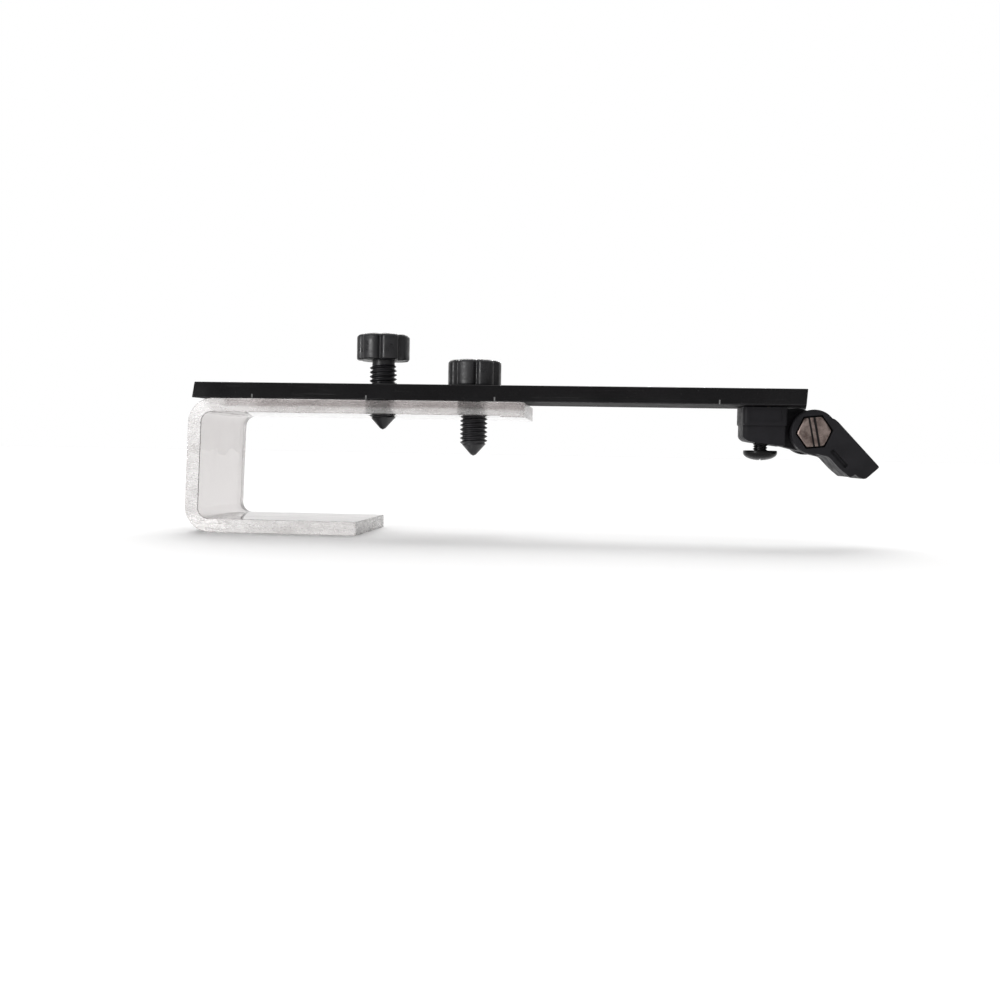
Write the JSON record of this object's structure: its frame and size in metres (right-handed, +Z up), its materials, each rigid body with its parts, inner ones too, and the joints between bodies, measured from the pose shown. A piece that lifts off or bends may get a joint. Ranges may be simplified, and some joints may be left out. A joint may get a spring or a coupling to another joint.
{
  "type": "honing guide",
  "caption": "Clamp-on honing guide: clear acrylic C-bracket with thumbscrews under a long black bar that carries a swivel block and a tilting arm at its end.",
  "frame": {"origin": "on the upper face of the bracket's lower jaw, half way along its flat, under the middle line of the bar", "axes": "+X along the bar towards the tilting arm, -Y the front, +Z up through the thumbscrews"},
  "size_m": [0.1947, 0.0385, 0.0579],
  "materials": {
    "clear_acrylic": "clear, polished, with drawn edges",
    "black_acrylic": "gloss",
    "black_nylon": "satin, moulded",
    "black_moulding": "satin, moulded",
    "black_steel": "black oxide",
    "bolt_steel": "dull, warm grey",
    "fibre": "matte",
    "brass": "turned"
  },
  "bodies": {
    "frame": {"clear_bracket": "clear_acrylic", "guide_bar": "black_acrylic", "bar_insert": "brass"},
    "left_screw_shank": {"left_stud": "black_nylon"},
    "left_screw_head": {"left_knob": "black_nylon"},
    "right_screw_shank": {"right_stud": "black_nylon"},
    "right_screw_head": {"right_knob": "black_nylon"},
    "swivel_block": {"pivot_block": "black_moulding", "front_friction_washer": "fibre", "rear_friction_washer": "fibre"},
    "lock_screw_shank": {"lock_stud": "black_steel"},
    "lock_screw_head": {"lock_button": "black_moulding"},
    "arm": {"tilt_arm": "black_moulding", "pivot_bolt": "bolt_steel", "spring_washer": "black_steel", "pivot_nut": "bolt_steel"}
  },
  "joints": [
    {"name": "left_screw_travel", "type": "slide", "parent": "frame", "child": "left_screw_shank", "axis": [0, 0, -1], "range_m": [-0.00251, 0.00721]},
    {"name": "left_screw_turn", "type": "hinge", "parent": "left_screw_shank", "child": "left_screw_head", "pos_m": [0.0261, 0, 0.0466], "axis": [0, 0, -1], "range_deg": [-720, 2073.6]},
    {"name": "right_screw_travel", "type": "slide", "parent": "frame", "child": "right_screw_shank", "axis": [0, 0, -1], "range_m": [-0.01001, 0.00001]},
    {"name": "right_screw_turn", "type": "hinge", "parent": "right_screw_shank", "child": "right_screw_head", "pos_m": [0.053, 0, 0.0394], "axis": [0, 0, -1], "range_deg": [-2880, 0]},
    {"name": "block_swivel", "type": "hinge", "parent": "frame", "child": "swivel_block", "pos_m": [0.1349, 0, 0.0345], "axis": [0, 0, 1], "continuous": true},
    {"name": "lock_screw_travel", "type": "slide", "parent": "frame", "child": "lock_screw_shank", "axis": [0, 0, 1], "range_m": [-0.00071, 0.00106]},
    {"name": "lock_screw_turn", "type": "hinge", "parent": "lock_screw_shank", "child": "lock_screw_head", "pos_m": [0.1349, 0, 0.0223], "axis": [0, 0, 1], "range_deg": [-360, 540]},
    {"name": "arm_tilt", "type": "hinge", "parent": "swivel_block", "child": "arm", "pos_m": [0.1483, 0, 0.0276], "axis": [0, -1, 0], "range_deg": [-43, 47]}
  ],
  "couplings": [
    {"joint": "left_screw_travel", "follows": "left_screw_turn", "m_per_rad": 0.00019894},
    {"joint": "right_screw_travel", "follows": "right_screw_turn", "m_per_rad": 0.00019894},
    {"joint": "lock_screw_travel", "follows": "lock_screw_turn", "m_per_rad": 0.00011141}
  ]
}
